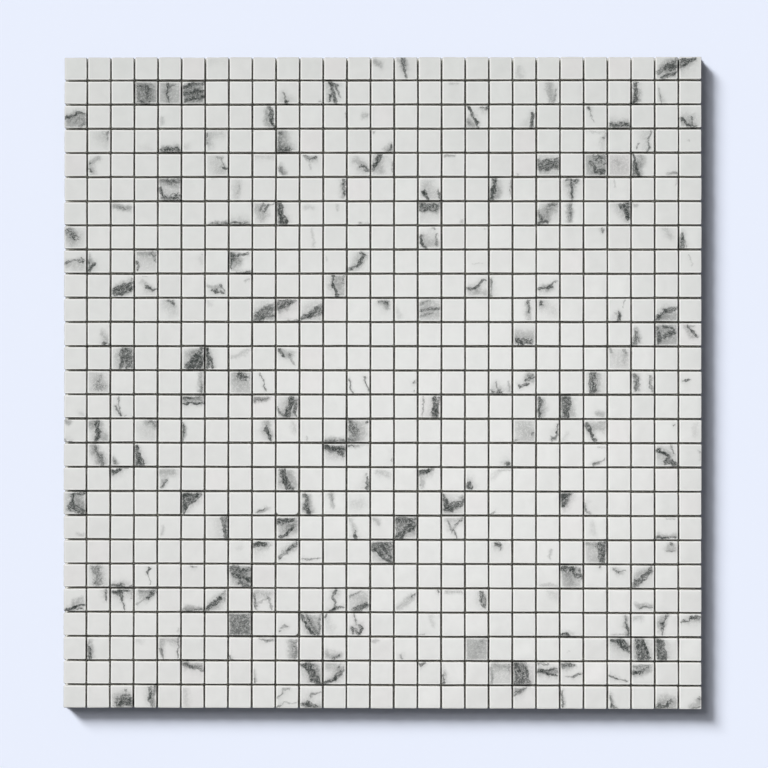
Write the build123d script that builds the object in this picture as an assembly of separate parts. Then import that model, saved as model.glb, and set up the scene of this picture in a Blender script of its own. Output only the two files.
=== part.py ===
from build123d import *
import os
import random

# Peel and stick mosaic tile: small square marble chips laid in rows on a self-adhesive mat,
# with a release liner over the adhesive on the back.
# The sheet lies flat with its chips up. The origin is the centre of its underside,
# +X runs along a row, +Y up the columns and +Z out of the chips' faces. Sizes are in millimetres.

# Driving dimensions
ROWS = 27
COLUMNS = 27
SHEET_WIDTH = 298.4  # along X, over the backing
SHEET_HEIGHT = 304.8  # along Y, over the backing: a nominal twelve inch sheet
EDGE_MARGIN = 0.15  # backing left showing outside the outermost chips

LINER_THICKNESS = 0.15
MAT_THICKNESS = 0.74
GLUE_LINE = 0.01  # clearance between the mat and the chips that it holds

CHIP_WIDTH = 10.34
CHIP_HEIGHT = 10.44
CHIP_THICKNESS = 4.0
CHIP_CORNER_RADIUS = 0.4  # seen from above
CHIP_ARRIS = 0.2  # small bevel round the polished face
WORN_CORNER_RADIUS = 1.7  # the few corners that are rubbed round

LAYING_SHIFT = 0.09  # largest offset of a chip from its place in the grid
LAYING_TURN = 0.45  # largest turn of a chip out of square, in degrees

# Corners rubbed round, as (row, column): corners, where rows count down from the sheet's top edge
# and columns from its left edge. L, R, T and B are left, right, top and bottom.
WORN_CORNERS = {(19, 10): ("LB", "RB"), (24, 10): ("RB",)}

# Spacing that follows from the sizes above
PITCH_X = (SHEET_WIDTH - 2 * EDGE_MARGIN - CHIP_WIDTH) / (COLUMNS - 1)
PITCH_Y = (SHEET_HEIGHT - 2 * EDGE_MARGIN - CHIP_HEIGHT) / (ROWS - 1)
CHIP_BASE_Z = LINER_THICKNESS + MAT_THICKNESS + GLUE_LINE


def release_liner():
    """Thin peel-off sheet over the whole back."""
    sheet = Box(SHEET_WIDTH, SHEET_HEIGHT, LINER_THICKNESS)
    return Pos(0, 0, LINER_THICKNESS / 2) * sheet


def adhesive_mat():
    """Sticky backing that carries every chip."""
    mat = Box(SHEET_WIDTH, SHEET_HEIGHT, MAT_THICKNESS)
    return Pos(0, 0, LINER_THICKNESS + MAT_THICKNESS / 2) * mat


def chip(worn=()):
    """One square chip centred on the Z axis, standing on the mat, with a bevel all round its face."""
    block = Pos(0, 0, CHIP_BASE_Z + CHIP_THICKNESS / 2) * Box(CHIP_WIDTH, CHIP_HEIGHT, CHIP_THICKNESS)
    upright = block.edges().filter_by(Axis.Z)
    rubbed = [edge for edge in upright if corner_name(edge) in worn]
    square = [edge for edge in upright if corner_name(edge) not in worn]
    if rubbed:
        block = fillet(rubbed, WORN_CORNER_RADIUS)
        square = [edge for edge in block.edges().filter_by(Axis.Z)
                  if any((edge.center() - old.center()).length < 0.01 for old in square)]
    if square:
        block = fillet(square, CHIP_CORNER_RADIUS)
    rim = block.faces().sort_by(Axis.Z)[-1].edges()
    return chamfer(rim, CHIP_ARRIS)


def corner_name(edge):
    """Name of the corner that an upright edge stands at, such as LB for left bottom."""
    middle = edge.center()
    return ("L" if middle.X < 0 else "R") + ("B" if middle.Y < 0 else "T")


def laying_error(row, column):
    """Shift in X and Y and turn in degrees of one chip, uneven but the same on every run."""
    uneven = random.Random(1000 * row + column)
    shift_x, shift_y, turn = (uneven.uniform(-1, 1) for _ in range(3))
    return LAYING_SHIFT * shift_x, LAYING_SHIFT * shift_y, LAYING_TURN * turn


def chip_place(row, column):
    """Where the chip of one row and column lies. Row 1 is the top row and column 1 the leftmost."""
    shift_x, shift_y, turn = laying_error(row, column)
    x = (column - (COLUMNS + 1) / 2) * PITCH_X + shift_x
    y = ((ROWS + 1) / 2 - row) * PITCH_Y + shift_y
    return Pos(x, y, 0) * Rot(0, 0, turn)


def chip_row(row, plain_chip):
    """All the chips of one row, each a loose solid that touches no other."""
    chips = []
    for column in range(1, COLUMNS + 1):
        worn = WORN_CORNERS.get((row, column))
        chips.append(chip_place(row, column) * (chip(worn) if worn else plain_chip))
    return Compound(children=chips)


def main():
    os.makedirs("parts", exist_ok=True)
    export_step(release_liner(), "parts/release_liner.step")
    export_step(adhesive_mat(), "parts/adhesive_mat.step")
    plain_chip = chip()
    for row in range(1, ROWS + 1):
        export_step(chip_row(row, plain_chip), f"parts/chip_row_{row:02d}.step")
    joints = PITCH_X - CHIP_WIDTH, PITCH_Y - CHIP_HEIGHT
    print(f"pitch {PITCH_X:.3f} x {PITCH_Y:.3f}, joints {joints[0]:.3f} x {joints[1]:.3f}")


main()
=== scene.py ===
"""Peel and stick mosaic backsplash sheet: small square marble chips on an adhesive mat.

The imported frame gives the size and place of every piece. Each row of chips is rebuilt here with eased,
slightly uneven edges and polished, veined faces, and the mat and the release liner get their finishes.
Lengths are in metres unless a name says otherwise.
"""

import logging
import math
import random
from dataclasses import dataclass, field
from enum import Enum

import bpy
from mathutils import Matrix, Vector


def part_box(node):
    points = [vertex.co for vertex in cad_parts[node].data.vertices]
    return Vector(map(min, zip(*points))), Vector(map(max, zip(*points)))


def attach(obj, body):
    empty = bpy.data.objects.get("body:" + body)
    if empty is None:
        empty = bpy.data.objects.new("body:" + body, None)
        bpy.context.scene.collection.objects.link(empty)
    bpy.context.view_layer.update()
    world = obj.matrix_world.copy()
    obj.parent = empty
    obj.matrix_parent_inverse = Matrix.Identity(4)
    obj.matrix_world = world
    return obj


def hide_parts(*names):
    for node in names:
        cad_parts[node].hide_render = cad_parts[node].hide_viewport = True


LOG = logging.getLogger("backsplash_sheet")
MM = 0.001
ROWS = 27
COLUMNS = 27
MARKS_PER_CHIP = 4
Colour = tuple[float, float, float]
Point = tuple[float, float, float]
Four = tuple[float, float, float, float]
Socket = bpy.types.NodeSocket
BLANK: Four = (0.0, 0.0, 0.0, 0.0)


class Corner(Enum):
    """A chip's corners as (sign in X, sign in Y)."""

    RIGHT_TOP = (1, 1)
    LEFT_TOP = (-1, 1)
    LEFT_BOTTOM = (-1, -1)
    RIGHT_BOTTOM = (1, -1)


class Form(Enum):
    """Forms of a mark in the stone, as (fade of its right side, crispness, fibre share, raggedness)."""

    LINE = (1.5, 0.75, 0.8, 1.1)
    BAND = (2.2, 0.8, 1.0, 2.0)
    SMOKE = (1.0, 0.0, 0.5, 1.6)
    SPECKS = (1.0, 1.0, 0.0, 4.0)
    SPOT = (1.2, 0.7, 0.2, 1.8)


@dataclass(frozen=True)
class Mark:
    """One mark in a chip's stone, on a face that runs 0 to 1 rightwards in u and downwards in v."""

    form: Form
    start: tuple[float, float]
    end: tuple[float, float]
    reach: float
    depth: float
    bend: float
    tip: float
    least_run = 1e-3

    @classmethod
    def drawn(cls, form: Form, *percent: int) -> "Mark":
        """Return a mark from its start, end, reach, depth, bend and tip in whole percent."""
        u0, v0, u1, v1, reach, depth, bend, tip = (number / 100 for number in percent)
        return cls(form, (u0, v0), (u1, v1), reach, depth, bend, tip)

    def ends(self) -> Four:
        """Return both end points as four numbers, never quite the same point."""
        return self.start + (self.end[0] + self.least_run, self.end[1])

    def look(self) -> Four:
        """Return the half widths at both ends, the depth and the fade."""
        return self.reach, self.reach * self.tip, self.depth, self.form.value[0]

    def shape(self) -> Four:
        """Return the bend, crispness, fibre share and raggedness."""
        return (self.bend, *self.form.value[1:])


def line(u0: int, v0: int, u1: int, v1: int, reach: int = 5, depth: int = 70, bend: int = 0,
         tip: int = 70) -> Mark:
    """Return a thin, crisp vein that bends to its right as drawn."""
    return Mark.drawn(Form.LINE, u0, v0, u1, v1, reach, depth, bend, tip)


def band(u0: int, v0: int, u1: int, v1: int, reach: int = 20, depth: int = 90) -> Mark:
    """Return a wide fibrous vein, sharp on its left as drawn and fading on its right."""
    return Mark.drawn(Form.BAND, u0, v0, u1, v1, reach, depth, 0, 100)


def smoke(u0: int, v0: int, u1: int, v1: int, reach: int = 30, depth: int = 20) -> Mark:
    """Return a pale grey cloud."""
    return Mark.drawn(Form.SMOKE, u0, v0, u1, v1, reach, depth, 0, 100)


def specks(u0: int, v0: int, u1: int, v1: int, reach: int = 15, depth: int = 80) -> Mark:
    """Return a loose string of dark grains."""
    return Mark.drawn(Form.SPECKS, u0, v0, u1, v1, reach, depth, 0, 100)


def spot(u: int, v: int, reach: int = 7, depth: int = 80) -> Mark:
    """Return a small dark spot."""
    return Mark.drawn(Form.SPOT, u, v, u + 2, v, reach, depth, 0, 100)


# The veined chips, as {row: {column: marks}}. Rows count down from the top edge of the sheet and
# columns from its left edge. Each mark runs from (u0, v0) to (u1, v1) on its chip's face, and all of
# its numbers are whole percents. Every other chip is clear stone.
VEINS: dict[int, dict[int, tuple[Mark, ...]]] = {
    1: {
        7: (smoke(30, 15, 90, 20, 20, 5),),
        14: (smoke(15, 20, 40, 35, 12, 28),),
        15: (line(28, 0, 50, 100, 6, 60, 0, 60), line(45, 0, 45, 60, 5, 50), smoke(30, 0, 42, 50, 15, 25)),
        20: (smoke(25, 50, 30, 90, 15, 12),),
        26: (line(5, 70, 100, 10, 9, 55), line(30, 95, 100, 60, 8, 75), smoke(55, 50, 90, 35, 24, 34),
             line(60, 50, 100, 30, 8, 60)),
        27: (line(0, 30, 62, 6, 14, 85, 0, 50), smoke(10, 40, 50, 20, 12, 25)),
    },
    2: {
        4: (smoke(45, 50, 35, 50, 60, 50), line(15, 30, 60, 35, 6, 45, -15), line(30, 85, 70, 70, 6, 60, 20),
            line(50, 25, 55, 70, 7, 45)),
        5: (smoke(50, 50, 50, 60, 70, 26), line(50, 5, 42, 50, 5, 75), line(38, 40, 52, 90, 4, 60),
            line(45, 25, 75, 10, 5, 40)),
        6: (line(-5, 30, 105, 5, 8, 85, -6), smoke(50, 62, 65, 60, 45, 50), line(0, 50, 100, 40, 8, 75),
            line(10, 85, 95, 68, 8, 80)),
        10: (line(30, 50, 42, 85, 5, 50, 0, 150), spot(45, 93, 12, 85)),
        11: (smoke(90, 85, 98, 88, 5, 25),),
        12: (line(30, 0, 50, 100, 8, 80, 0, 80), line(27, 65, 25, 95, 4, 85), line(55, 20, 75, 75, 5, 50),
             line(25, 3, 60, 10, 10, 65)),
        17: (smoke(35, 6, 65, 6, 6, 14),),
        21: (smoke(52, 0, 62, 100, 13, 26), line(85, 35, 72, 100, 5, 35)),
        25: (line(22, 0, 12, 100, 7, 75, 0, 120), smoke(20, 50, 20, 80, 15, 30)),
        26: (line(10, 30, 33, 100, 3, 32), smoke(20, 60, 40, 95, 12, 10)),
    },
    3: {
        1: (line(0, 62, 55, 38, 7, 80), line(50, 38, 105, 40), smoke(30, 72, 90, 62, 25, 32),
            line(70, 95, 100, 70, 7, 50)),
        5: (smoke(8, 60, 10, 80, 10, 14),),
        9: (line(74, 0, 97, 100, 8, 85), smoke(58, 30, 70, 90, 12, 26)),
        12: (smoke(98, 30, 98, 60, 5, 40),),
        13: (smoke(75, 45, 95, 45, 12, 18),),
        18: (line(15, 0, 65, 100, 6, 85), smoke(8, 70, 25, 90, 18, 35), spot(95, 12, 10, 75),
             line(70, 2, 95, 15, 6, 60)),
        20: (line(92, 35, 83, 100, 4, 80, 0, 260),),
        23: (spot(15, 12, 7, 70), line(20, 15, 40, 75, 3, 35)),
        24: (specks(10, 90, 90, 88, 10, 75), smoke(10, 92, 90, 92, 10, 32), spot(75, 85, 6, 60)),
        27: (line(10, 55, 30, 85, 6, 75), line(30, 88, 75, 92, 7, 75), line(60, 50, 62, 85, 4, 60),
             smoke(40, 70, 50, 80, 28, 22)),
    },
    4: {
        2: (spot(85, 12, 6, 60), line(83, 8, 92, 50, 4, 42), smoke(60, 30, 85, 55, 30, 10)),
        4: (smoke(30, 80, 60, 85, 20, 5),),
        5: (smoke(30, 93, 80, 90, 12, 32), specks(15, 95, 90, 95, 9), spot(85, 92, 6, 70)),
        6: (smoke(5, 75, 15, 80, 14, 8),),
        7: (line(2, 15, 3, 60, 9), smoke(10, 30, 70, 12, 22, 14), smoke(10, 60, 20, 70, 18, 12)),
        10: (smoke(12, 10, 25, 90, 32, 32), specks(5, 92, 60, 94, 12, 70), spot(12, 12, 8, 50),
             smoke(0, 55, 10, 80, 18, 28)),
        14: (smoke(70, 88, 95, 78, 12, 38), line(70, 94, 90, 72, 5, 40), spot(92, 70, 5, 50),
             smoke(8, 10, 12, 12, 6, 25)),
        23: (spot(96, 20, 6, 70), line(84, 40, 98, 18, 4, 40), smoke(10, 5, 90, 5, 8, 12),
             smoke(80, 55, 80, 90, 18, 9)),
        25: (line(82, 0, 75, 100, 5, 55, 0, 80), line(18, 90, 30, 65, 3, 50), smoke(50, 10, 70, 90, 20, 9)),
        27: (smoke(40, 50, 42, 52, 5, 14),),
    },
    5: {
        2: (spot(5, 45, 6, 70), spot(10, 72, 5, 60), smoke(12, 40, 50, 15, 12, 24),
            smoke(5, 62, 20, 80, 14, 18)),
        7: (line(50, 10, 85, 15, 4, 32), smoke(40, 30, 60, 80, 30, 11), line(76, 20, 84, 60, 4, 32),
            line(80, 65, 100, 68, 6, 95)),
        9: (smoke(10, 10, 90, 10, 14, 9),),
        10: (smoke(10, 60, 35, 90, 12, 28), line(10, 58, 28, 90, 5, 28)),
        11: (smoke(30, 15, 70, 20, 10, 18), line(20, 10, 60, 20, 4, 38), spot(65, 20, 7, 60),
             line(42, 30, 50, 70, 5, 14)),
        13: (smoke(40, 30, 70, 50, 20, 18), line(62, 52, 95, 75, 8, 65), line(55, 62, 78, 58, 4, 45)),
        14: (line(42, 5, 18, 50, 13, 90), line(20, 45, 3, 80, 7), smoke(30, 50, 40, 80, 20, 18),
             line(97, 30, 97, 90, 4, 50)),
        17: (smoke(10, 6, 50, 4, 6, 30),),
        20: (spot(20, 92, 5, 40),),
        21: (line(-5, 45, 105, 42, 20, 85, 0, 110), smoke(20, 72, 50, 70, 10, 28)),
        23: (smoke(50, 50, 50, 50, 70, 22), specks(60, 12, 95, 30, 16), line(30, 42, 50, 60, 8, 62),
             line(55, 74, 95, 82, 9, 85)),
        24: (smoke(40, 50, 60, 50, 60, 14), smoke(38, 38, 45, 44, 8, 10)),
        25: (smoke(15, 50, 20, 90, 18, 48), line(8, 10, 35, 100, 6, 90), line(5, 30, 5, 95),
             smoke(42, 10, 42, 50, 14, 24)),
        26: (smoke(60, 92, 90, 85, 8, 32), spot(93, 85, 5, 50)),
    },
    6: {
        5: (smoke(10, 8, 90, 14, 20, 42), specks(50, 10, 95, 15, 12, 60), line(5, 50, 20, 75, 8, 80),
            specks(30, 90, 95, 90, 14, 95)),
        7: (smoke(30, 3, 60, 3, 5),),
        8: (smoke(35, 20, 30, 80, 20, 11), line(42, 30, 38, 65, 5, 18)),
        12: (line(97, 10, 95, 75, 7, 75), smoke(87, 30, 87, 80, 11)),
        16: (line(20, 55, 42, 97, 7, 85), line(85, 55, 100, 95, 5, 60), smoke(40, 30, 60, 80, 24, 13),
             line(12, 60, 30, 64, 4, 50)),
        19: (line(32, 0, 22, 50, 10, 85), line(22, 50, 10, 100, 12, 85), smoke(30, 50, 30, 80, 18, 28),
             line(97, 10, 97, 80, 3, 55)),
        22: (line(50, 5, 58, 100, 5, 75, 5), line(20, 5, 80, 5, 6, 60), line(75, 3, 57, 30, 6, 42),
             smoke(40, 30, 45, 70, 18, 18)),
        24: (smoke(30, 10, 30, 40, 4, 12),),
        26: (line(90, 0, 90, 30, 3, 28),),
    },
    7: {
        3: (smoke(10, 15, 80, 25, 10, 28), line(25, 15, 70, 25, 5, 20)),
        7: (line(10, 94, 100, 96, 4), smoke(40, 90, 100, 92, 7, 28)),
        8: (specks(5, 90, 80, 95, 9, 70), spot(30, 90, 4, 50), spot(55, 94, 4, 50)),
        9: (smoke(20, 30, 40, 60, 22, 24), line(45, 5, 35, 40, 6, 48), line(62, 15, 50, 45, 5, 65),
            line(60, 10, 95, 3, 4, 38)),
        10: (line(10, 0, 30, 95, 10, 90, 0, 120), smoke(8, 40, 15, 90, 12, 50)),
        11: (smoke(20, 25, 60, 25, 10, 11),),
        12: (smoke(60, 10, 65, 40, 5, 13),),
        13: (smoke(60, 95, 95, 94, 6, 42),),
        16: (line(0, 18, 100, 14, 17, 75), smoke(20, 36, 80, 34, 10, 28)),
        17: (smoke(86, 80, 90, 90, 8, 16),),
        21: (smoke(75, 12, 20, 80, 24, 34), line(50, 12, 85, 10, 9, 55), line(5, 42, 15, 75, 10, 50),
             line(10, 90, 45, 86, 8)),
        22: (smoke(42, 8, 36, 80, 12, 38), line(55, 5, 40, 60, 5, 35)),
        24: (line(60, 10, 95, 78, 7, 85), line(84, 8, 97, 70, 14, 85, 0, 50)),
        25: (smoke(0, 5, 20, 10, 10, 18),),
    },
    8: {
        1: (smoke(25, 10, 40, 45, 15, 32), specks(15, 28, 50, 45, 14, 60), smoke(30, 60, 40, 80, 20, 11)),
        11: (smoke(56, 0, 60, 100, 6, 11),),
        16: (line(15, 45, 35, 100, 7, 85, 5), smoke(30, 60, 70, 80, 24, 22), line(86, 40, 76, 90, 5, 38),
             line(60, 8, 76, 14, 5, 38)),
        18: (spot(85, 5, 3, 28),),
        23: (spot(86, 16, 4, 60), line(80, 4, 87, 30, 4, 58)),
        26: (smoke(40, 10, 72, 40, 13, 14),),
        27: (line(10, 35, 10, 98, 6, 70, 0, 150), line(16, 50, 32, 96, 5, 30)),
    },
    9: {
        1: (line(0, 50, 90, 48, 5, 60), spot(85, 42, 8, 60), smoke(10, 62, 90, 80, 18, 11)),
        2: (line(0, 45, 5, 100, 6), line(8, 85, 28, 60, 9, 85), smoke(5, 20, 10, 50, 10, 24)),
        4: (smoke(20, 10, 90, 14, 14, 24), line(80, 10, 98, 45, 8, 52), line(3, 50, 10, 90, 7, 60),
            smoke(40, 50, 60, 60, 40, 9)),
        6: (spot(88, 12, 4, 28), smoke(80, 30, 90, 60, 10, 8)),
        8: (line(15, 28, 8, 75, 10, 75), line(10, 15, 85, 10, 7, 65, 5), smoke(20, 30, 32, 50, 20, 38),
            line(30, 100, 100, 95, 5, 85)),
        12: (smoke(10, 30, 10, 40, 6, 11),),
        13: (line(5, 85, 55, 55, 6, 75), line(50, 50, 76, 15, 7, 80), line(55, 5, 80, 25, 6),
             smoke(40, 60, 60, 30, 22, 13)),
        18: (line(30, 50, 70, 55, 3, 11),),
        27: (line(50, 20, 60, 70, 3, 18),),
    },
    10: {
        3: (line(0, 70, 105, 30, 9, 72), line(10, 90, 100, 58, 8, 78), smoke(30, 72, 80, 50, 17, 40),
            spot(90, 15, 7, 50)),
        4: (line(55, 55, 75, 65, 6, 80), line(75, 68, 100, 70, 5, 80), smoke(30, 40, 60, 55, 10, 13),
            line(30, 10, 60, 15, 3, 20)),
        7: (line(35, 65, 85, 88), line(65, 50, 85, 75, 5, 50), smoke(5, 45, 60, 60, 8, 24)),
        8: (smoke(75, 30, 95, 25, 5, 18),),
        12: (line(40, 5, 38, 60, 6, 75), line(42, 40, 60, 100, 7, 85), line(92, 8, 84, 38, 8, 50),
             smoke(60, 10, 75, 80, 18, 24)),
        18: (line(5, 62, 50, 55, 6, 80), line(42, 55, 88, 22, 6, 80), smoke(40, 80, 90, 85, 18, 18)),
        19: (line(0, 20, 5, 95, 8, 60, 0, 130),),
        21: (line(2, 66, 70, 52, 5, 85), line(50, 50, 98, 25, 4, 60), smoke(30, 55, 50, 60, 14, 24)),
    },
    11: {
        5: (line(40, 5, 60, 15, 5, 60), line(60, 5, 68, 30), smoke(40, 30, 60, 50, 24, 11)),
        7: (smoke(0, 10, 20, 20, 10, 8),),
        9: (line(5, 85, 105, 20, 20, 60), smoke(30, 72, 90, 70, 24, 24), line(15, 65, 50, 45, 4, 38),
            line(30, 96, 95, 65, 5, 50)),
        10: (line(0, 30, 85, 8, 15, 75, 0, 50), smoke(10, 50, 40, 40, 10, 28), line(50, 100, 98, 92, 4, 60)),
        11: (line(3, 85, 50, 65, 10, 75, 0, 120), line(40, 68, 105, 38, 14, 75, 0, 150)),
        14: (line(40, 8, 85, 10, 5, 40), spot(68, 20, 10, 65), smoke(60, 10, 70, 30, 14, 28)),
        15: (smoke(5, 40, 20, 80, 10, 8),),
        16: (smoke(30, 40, 70, 50, 50), line(5, 20, 50, 15, 5, 35), line(5, 50, 95, 38, 5, 50),
             line(5, 75, 60, 60, 6, 35)),
        20: (line(75, 10, 75, 65, 6, 55), smoke(65, 20, 70, 90, 10, 18)),
        21: (spot(15, 15, 8, 75), smoke(20, 30, 70, 50, 30, 9)),
        24: (line(45, 65, 47, 100, 5, 75, 0, 180), line(25, 65, 40, 80, 3, 28), line(70, 5, 65, 40, 3, 20)),
        26: (line(5, 88, 50, 50, 10, 75), line(40, 50, 95, 40, 10, 65), smoke(30, 90, 90, 80, 18, 24)),
    },
    12: {
        2: (spot(75, 90), spot(93, 95, 5, 70), smoke(70, 50, 85, 70, 12, 18)),
        20: (smoke(10, 50, 90, 55, 20, 14), specks(20, 80, 70, 82, 12), line(15, 76, 42, 85, 5, 45),
             spot(80, 75, 4, 30)),
        25: (line(15, 40, 12, 100, 5, 65, 0, 300), smoke(15, 30, 30, 70, 12, 24),
             line(30, 60, 35, 90, 3, 38)),
        26: (smoke(40, 50, 60, 50, 60, 28), line(40, 10, 90, 30, 6, 65), line(88, 36, 40, 65, 9, 75),
             line(10, 20, 20, 85, 13, 65)),
        27: (line(45, 10, 80, 60, 5, 65), smoke(40, 20, 60, 50, 14, 18), line(55, 10, 70, 10, 3, 38)),
    },
    13: {
        3: (line(60, 8, 42, 100, 9), line(80, 0, 70, 100, 10, 65), line(95, 10, 90, 90, 6, 50),
            smoke(70, 50, 70, 60, 34, 28)),
        6: (line(95, 10, 35, 95, 9, 85, 0, 160), smoke(82, 55, 72, 90, 28, 48), line(95, 42, 75, 95, 14),
            smoke(42, 40, 60, 30, 20, 18)),
        7: (line(3, 5, 10, 95, 12, 85, 0, 80), line(8, 5, 35, 98, 5, 85)),
        8: (smoke(10, 45, 90, 15, 10, 14),),
        10: (line(10, 12, 35, 40, 6, 80), spot(60, 30, 7, 50), line(50, 30, 85, 75, 5, 28),
             smoke(30, 20, 70, 30, 14, 18)),
        24: (smoke(50, 50, 60, 60, 50, 11), line(10, 5, 20, 25, 6, 38), line(75, 5, 80, 30, 6, 38),
             smoke(75, 30, 75, 60, 10, 14)),
    },
    14: {
        2: (spot(65, 25, 6, 50), smoke(40, 30, 60, 70, 34, 13), specks(50, 60, 60, 70, 20, 35)),
        6: (smoke(90, 10, 85, 90, 12, 32), line(95, 50, 88, 100, 4, 38)),
        8: (spot(50, 15, 10, 65), specks(45, 12, 75, 20, 14, 70), smoke(40, 50, 60, 70, 50, 18)),
        9: (line(35, 5, 60, 85, 3, 50),),
        13: (line(5, 35, 25, 100, 4, 65), line(80, 20, 95, 90, 4, 65)),
        15: (spot(88, 50, 6, 60), spot(85, 92, 4, 28), line(90, 50, 98, 30, 3, 28)),
        19: (line(30, 55, 40, 80, 4, 38), specks(15, 94, 55, 94, 9, 85), line(50, 80, 55, 95, 5, 50),
             smoke(86, 50, 90, 90, 6, 24)),
        20: (line(90, 15, 55, 40, 7, 65), line(65, 55, 25, 68, 6, 65), smoke(70, 10, 95, 35, 14, 28)),
        23: (band(32, 100, 32, 0, 10, 75), smoke(52, 20, 52, 90, 14, 28)),
        25: (line(15, 20, 25, 80, 9, 50, 0, 80), spot(10, 50, 6, 50), line(85, 20, 95, 90, 6, 45, 0, 140),
             smoke(20, 20, 20, 80, 10, 18)),
        27: (line(15, 42, 45, 32, 4, 60),),
    },
    15: {
        1: (smoke(72, 82, 80, 90, 10, 8),),
        3: (line(32, 0, 42, 85, 3, 50), line(20, 50, 42, 90, 5, 65), spot(60, 93, 3, 38),
            spot(90, 92, 3, 38)),
        6: (line(2, 36, 100, 30, 5, 90), smoke(0, 14, 100, 14, 13, 38), line(10, 10, 90, 5, 4, 50)),
        9: (smoke(5, 15, 60, 10, 12, 38), line(5, 22, 90, 5, 3, 38)),
        10: (line(70, 8, 55, 95, 13, 80, 0, 80), line(90, 20, 90, 80, 7, 60), line(5, 50, 35, 92, 5, 60),
             smoke(65, 30, 50, 85, 20, 32)),
        16: (line(20, 5, 22, 95, 3, 40), line(75, 5, 75, 100, 8, 85, 0, 130), line(95, 10, 88, 70, 6),
             smoke(82, 60, 82, 90, 10, 38)),
        21: (line(8, 10, 12, 90, 10, 85, -5), smoke(25, 30, 20, 80, 12, 32)),
        22: (line(22, -5, 22, 105, 20, 75), line(40, 10, 30, 90, 6, 60), smoke(52, 60, 60, 90, 12, 14)),
        23: (smoke(60, 75, 80, 82, 12, 24),),
    },
    16: {
        1: (smoke(10, 8, 20, 10, 11, 32), line(0, 95, 30, 102, 7, 60)),
        2: (line(45, 10, 55, 55, 9), line(55, 50, 40, 100, 10, 75), smoke(10, 20, 50, 20, 18, 28),
            smoke(50, 90, 80, 80, 18, 24)),
        4: (smoke(62, 10, 95, 28, 14, 26), specks(70, 10, 95, 15, 10, 45), smoke(40, 50, 80, 70, 30, 8)),
        6: (line(0, 20, 8, 100, 6, 85), smoke(5, 30, 12, 80, 6)),
        9: (line(60, 30, 75, 70, 9, 60), line(70, 50, 80, 92, 7, 75), smoke(60, 10, 70, 50, 14, 24),
            spot(90, 2, 5, 50)),
        10: (smoke(72, 20, 80, 50, 12, 11),),
        11: (smoke(30, 95, 35, 80, 5, 14),),
        12: (line(10, 96, 95, 94, 7, 55), smoke(10, 92, 90, 92, 10, 24)),
        13: (smoke(20, 30, 40, 80, 34, 28), spot(86, 6, 7, 90), specks(10, 15, 30, 50, 15, 65),
             line(5, 92, 30, 92, 7, 55)),
        20: (smoke(50, 30, 60, 70, 50, 18), spot(80, 60, 6, 38), line(0, 96, 20, 94, 5, 38)),
        21: (line(97, 0, 90, 50, 3), line(90, 50, 70, 100, 5, 60), smoke(72, 80, 80, 90, 6, 28)),
        22: (smoke(10, 80, 30, 62, 10, 8),),
        23: (line(10, 15, 30, 50, 10, 80, 0, 60), line(28, 45, 50, 100, 5, 75, 0, 80),
             smoke(40, 30, 90, 32, 18, 22), line(75, 10, 95, 15, 4, 28)),
        26: (spot(80, 20, 4, 60),),
        27: (smoke(75, 20, 70, 70, 10, 9),),
    },
    17: {
        2: (smoke(30, 10, 60, 80, 20, 32), line(35, 8, 55, 50, 6, 50), line(60, 50, 70, 95, 7, 50)),
        3: (smoke(10, 72, 20, 95, 12, 34), line(5, 60, 15, 92, 4, 28)),
        4: (line(5, 5, 22, 100, 7, 85, 0, 220), line(10, 5, 42, 100, 3, 85)),
        12: (smoke(10, 12, 90, 18, 14, 38), line(5, 8, 50, 20, 10, 80), line(50, 14, 95, 24, 14, 85),
             line(70, 40, 97, 55, 7)),
        13: (smoke(5, 4, 80, 0, 9, 28), line(0, 12, 30, 8, 4, 50)),
        14: (line(96, 30, 94, 90, 4, 28),),
        19: (spot(82, 88, 9, 70), smoke(70, 92, 95, 92, 10, 28)),
        23: (line(40, 96, 65, 82, 5, 55), line(65, 82, 95, 65, 3, 38), line(60, 5, 95, 15, 3, 18)),
        26: (line(5, 28, 40, 35, 9, 90), line(40, 35, 60, 60, 8, 80), line(50, 72, 100, 85, 14, 85),
             line(78, 0, 80, 42, 5, 50)),
        27: (spot(95, 30, 6, 38), smoke(90, 30, 95, 60, 6, 14)),
    },
    18: {
        3: (line(0, 12, 40, 8, 10, 85, 0, 60), line(40, 5, 80, 0), smoke(10, 25, 30, 15, 6, 28)),
        5: (smoke(10, 20, 60, 10, 22, 24), line(10, 86, 35, 55, 6, 50), smoke(20, 70, 30, 60, 10, 28)),
        10: (line(28, 0, 40, 60, 14, 85), line(40, 55, 75, 100, 14, 85), smoke(62, 30, 80, 70, 18, 18)),
        13: (line(95, 40, 87, 96, 5, 70, 0, 150), spot(80, 25, 5, 28)),
        14: (smoke(30, 15, 80, 30, 12, 14),),
        16: (line(2, 20, 40, 12, 10, 85, 0, 60), line(30, 15, 70, 2, 5, 60), spot(3, 70, 4, 50),
             smoke(10, 40, 15, 80, 10, 14)),
        18: (line(10, 72, 30, 85, 12, 75), spot(10, 70, 8, 60)),
        19: (smoke(50, 8, 90, 4, 6, 18), smoke(10, 40, 40, 20, 12, 9)),
    },
    19: {
        1: (line(90, 5, 40, 15, 7, 80), line(40, 15, 35, 60, 7, 85), line(35, 52, 80, 92, 16, 80),
            smoke(70, 40, 80, 60, 22, 32)),
        6: (band(90, 3, 3, 85, 8, 80), line(3, 10, 70, 5, 10, 80, 0, 60), line(7, 15, 5, 70, 10, 80, 0, 60),
            smoke(25, 25, 30, 30, 20, 45)),
        9: (line(20, 85, 55, 65, 5, 50), smoke(20, 90, 70, 70, 8, 24)),
        11: (line(22, 5, 35, 92, 9, 60, 0, 110), line(30, 60, 38, 96, 6, 40), smoke(30, 20, 35, 90, 14, 24)),
        12: (smoke(30, 5, 40, 60, 10, 24), line(35, 0, 40, 40, 4, 24)),
        13: (smoke(30, 50, 60, 50, 24, 9),),
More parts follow.
